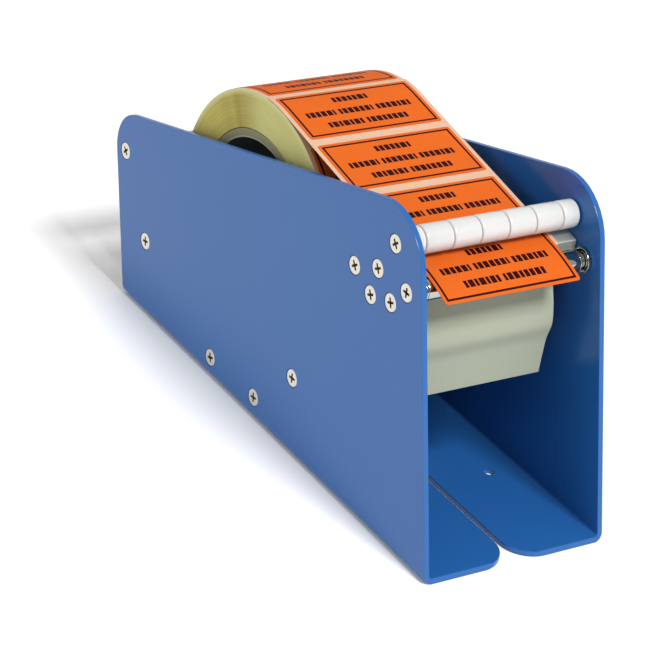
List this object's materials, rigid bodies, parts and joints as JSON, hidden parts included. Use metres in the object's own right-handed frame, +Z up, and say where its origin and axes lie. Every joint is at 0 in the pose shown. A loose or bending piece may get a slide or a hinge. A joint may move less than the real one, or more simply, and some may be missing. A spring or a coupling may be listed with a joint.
{
  "type": "label dispenser",
  "caption": "Manual desk dispenser: bent side plates carry a cradled label roll, guide rollers and a peel bar that frees each label.",
  "frame": {"origin": "middle of the base, on the surface the dispenser stands on", "axes": "+Z up, +X across the machine, the labels come out towards -Y"},
  "size_m": [0.09, 0.2756, 0.1435],
  "materials": {
    "blue_powder_coat": "satin",
    "zinc_plated_steel": "satin",
    "chrome": "polished",
    "brushed_steel": "brushed",
    "white_plastic": "gloss",
    "roll_paper": "matte",
    "core_card": "matte",
    "liner_paper": "satin",
    "orange_label": "satin"
  },
  "bodies": {
    "frame": {"left_side_plate": "blue_powder_coat", "right_side_plate": "blue_powder_coat", "screw_spacer_left": "zinc_plated_steel", "screw_cradle_rear_left": "zinc_plated_steel", "screw_cradle_seat_left": "zinc_plated_steel", "screw_cradle_low_left": "zinc_plated_steel", "screw_cradle_front_left": "zinc_plated_steel", "screw_pressure_roller_left": "zinc_plated_steel", "screw_peel_bar_rear_left": "zinc_plated_steel", "screw_peel_bar_front_left": "zinc_plated_steel", "screw_guide_bar_rear_left": "zinc_plated_steel", "screw_guide_bar_front_left": "zinc_plated_steel", "screw_chrome_roller_left": "zinc_plated_steel", "screw_spacer_right": "zinc_plated_steel", "screw_cradle_rear_right": "zinc_plated_steel", "screw_cradle_seat_right": "zinc_plated_steel", "screw_cradle_low_right": "zinc_plated_steel", "screw_cradle_front_right": "zinc_plated_steel", "screw_pressure_roller_right": "zinc_plated_steel", "screw_peel_bar_rear_right": "zinc_plated_steel", "screw_peel_bar_front_right": "zinc_plated_steel", "screw_guide_bar_rear_right": "zinc_plated_steel", "screw_guide_bar_front_right": "zinc_plated_steel", "screw_chrome_roller_right": "zinc_plated_steel", "rear_spacer_bar": "zinc_plated_steel", "pressure_roller_axle": "zinc_plated_steel", "cradle_axle_front": "zinc_plated_steel", "cradle_axle_low": "zinc_plated_steel", "cradle_axle_seat": "zinc_plated_steel", "cradle_axle_rear": "zinc_plated_steel", "chrome_roller_axle": "chrome", "roller_clip_left": "chrome", "roller_clip_right": "chrome", "roller_collar_left": "chrome", "roller_collar_right": "chrome", "peel_bar": "brushed_steel", "liner_guide_bar": "brushed_steel", "label_liner": "liner_paper", "dispensed_label": "orange_label", "web_label_1": "orange_label", "web_label_2": "orange_label", "web_label_3": "orange_label"},
    "label_roll": {"label_roll": "roll_paper", "roll_core": "core_card"},
    "chrome_roller": {"chrome_roller": "chrome"},
    "cradle_roller_front": {"cradle_roller_front": "white_plastic"},
    "cradle_roller_low": {"cradle_roller_low": "white_plastic"},
    "cradle_roller_seat": {"cradle_roller_seat": "white_plastic"},
    "cradle_roller_rear": {"cradle_roller_rear": "white_plastic"},
    "pressure_sleeve_1": {"pressure_sleeve_1": "white_plastic"},
    "pressure_sleeve_2": {"pressure_sleeve_2": "white_plastic"},
    "pressure_sleeve_3": {"pressure_sleeve_3": "white_plastic"},
    "pressure_sleeve_4": {"pressure_sleeve_4": "white_plastic"},
    "pressure_sleeve_5": {"pressure_sleeve_5": "white_plastic"},
    "pressure_sleeve_6": {"pressure_sleeve_6": "white_plastic"},
    "pressure_sleeve_7": {"pressure_sleeve_7": "white_plastic"}
  },
  "joints": [
    {"name": "roll_spin", "type": "hinge", "parent": "frame", "child": "label_roll", "pos_m": [0, 0.02726, 0.07673], "axis": [1, 0, 0], "continuous": true},
    {"name": "cradle_roller_front_spin", "type": "hinge", "parent": "frame", "child": "cradle_roller_front", "pos_m": [0, -0.02665, 0.0348], "axis": [1, 0, 0], "continuous": true},
    {"name": "cradle_roller_low_spin", "type": "hinge", "parent": "frame", "child": "cradle_roller_low", "pos_m": [0, 0.00035, 0.01], "axis": [1, 0, 0], "continuous": true},
    {"name": "cradle_roller_seat_spin", "type": "hinge", "parent": "frame", "child": "cradle_roller_seat", "pos_m": [0, 0.03815, 0.0093], "axis": [1, 0, 0], "continuous": true},
    {"name": "cradle_roller_rear_spin", "type": "hinge", "parent": "frame", "child": "cradle_roller_rear", "pos_m": [0, 0.10375, 0.0348], "axis": [1, 0, 0], "continuous": true},
    {"name": "pressure_sleeve_1_spin", "type": "hinge", "parent": "frame", "child": "pressure_sleeve_1", "pos_m": [0, -0.08404, 0.12797], "axis": [1, 0, 0], "continuous": true},
    {"name": "pressure_sleeve_2_spin", "type": "hinge", "parent": "frame", "child": "pressure_sleeve_2", "pos_m": [0, -0.08404, 0.12797], "axis": [1, 0, 0], "continuous": true},
    {"name": "pressure_sleeve_3_spin", "type": "hinge", "parent": "frame", "child": "pressure_sleeve_3", "pos_m": [0, -0.08404, 0.12797], "axis": [1, 0, 0], "continuous": true},
    {"name": "pressure_sleeve_4_spin", "type": "hinge", "parent": "frame", "child": "pressure_sleeve_4", "pos_m": [0, -0.08404, 0.12797], "axis": [1, 0, 0], "continuous": true},
    {"name": "pressure_sleeve_5_spin", "type": "hinge", "parent": "frame", "child": "pressure_sleeve_5", "pos_m": [0, -0.08404, 0.12797], "axis": [1, 0, 0], "continuous": true},
    {"name": "pressure_sleeve_6_spin", "type": "hinge", "parent": "frame", "child": "pressure_sleeve_6", "pos_m": [0, -0.08404, 0.12797], "axis": [1, 0, 0], "continuous": true},
    {"name": "pressure_sleeve_7_spin", "type": "hinge", "parent": "frame", "child": "pressure_sleeve_7", "pos_m": [0, -0.08404, 0.12797], "axis": [1, 0, 0], "continuous": true},
    {"name": "chrome_roller_spin", "type": "hinge", "parent": "frame", "child": "chrome_roller", "pos_m": [0, -0.09584, 0.11217], "axis": [1, 0, 0], "continuous": true}
  ]
}
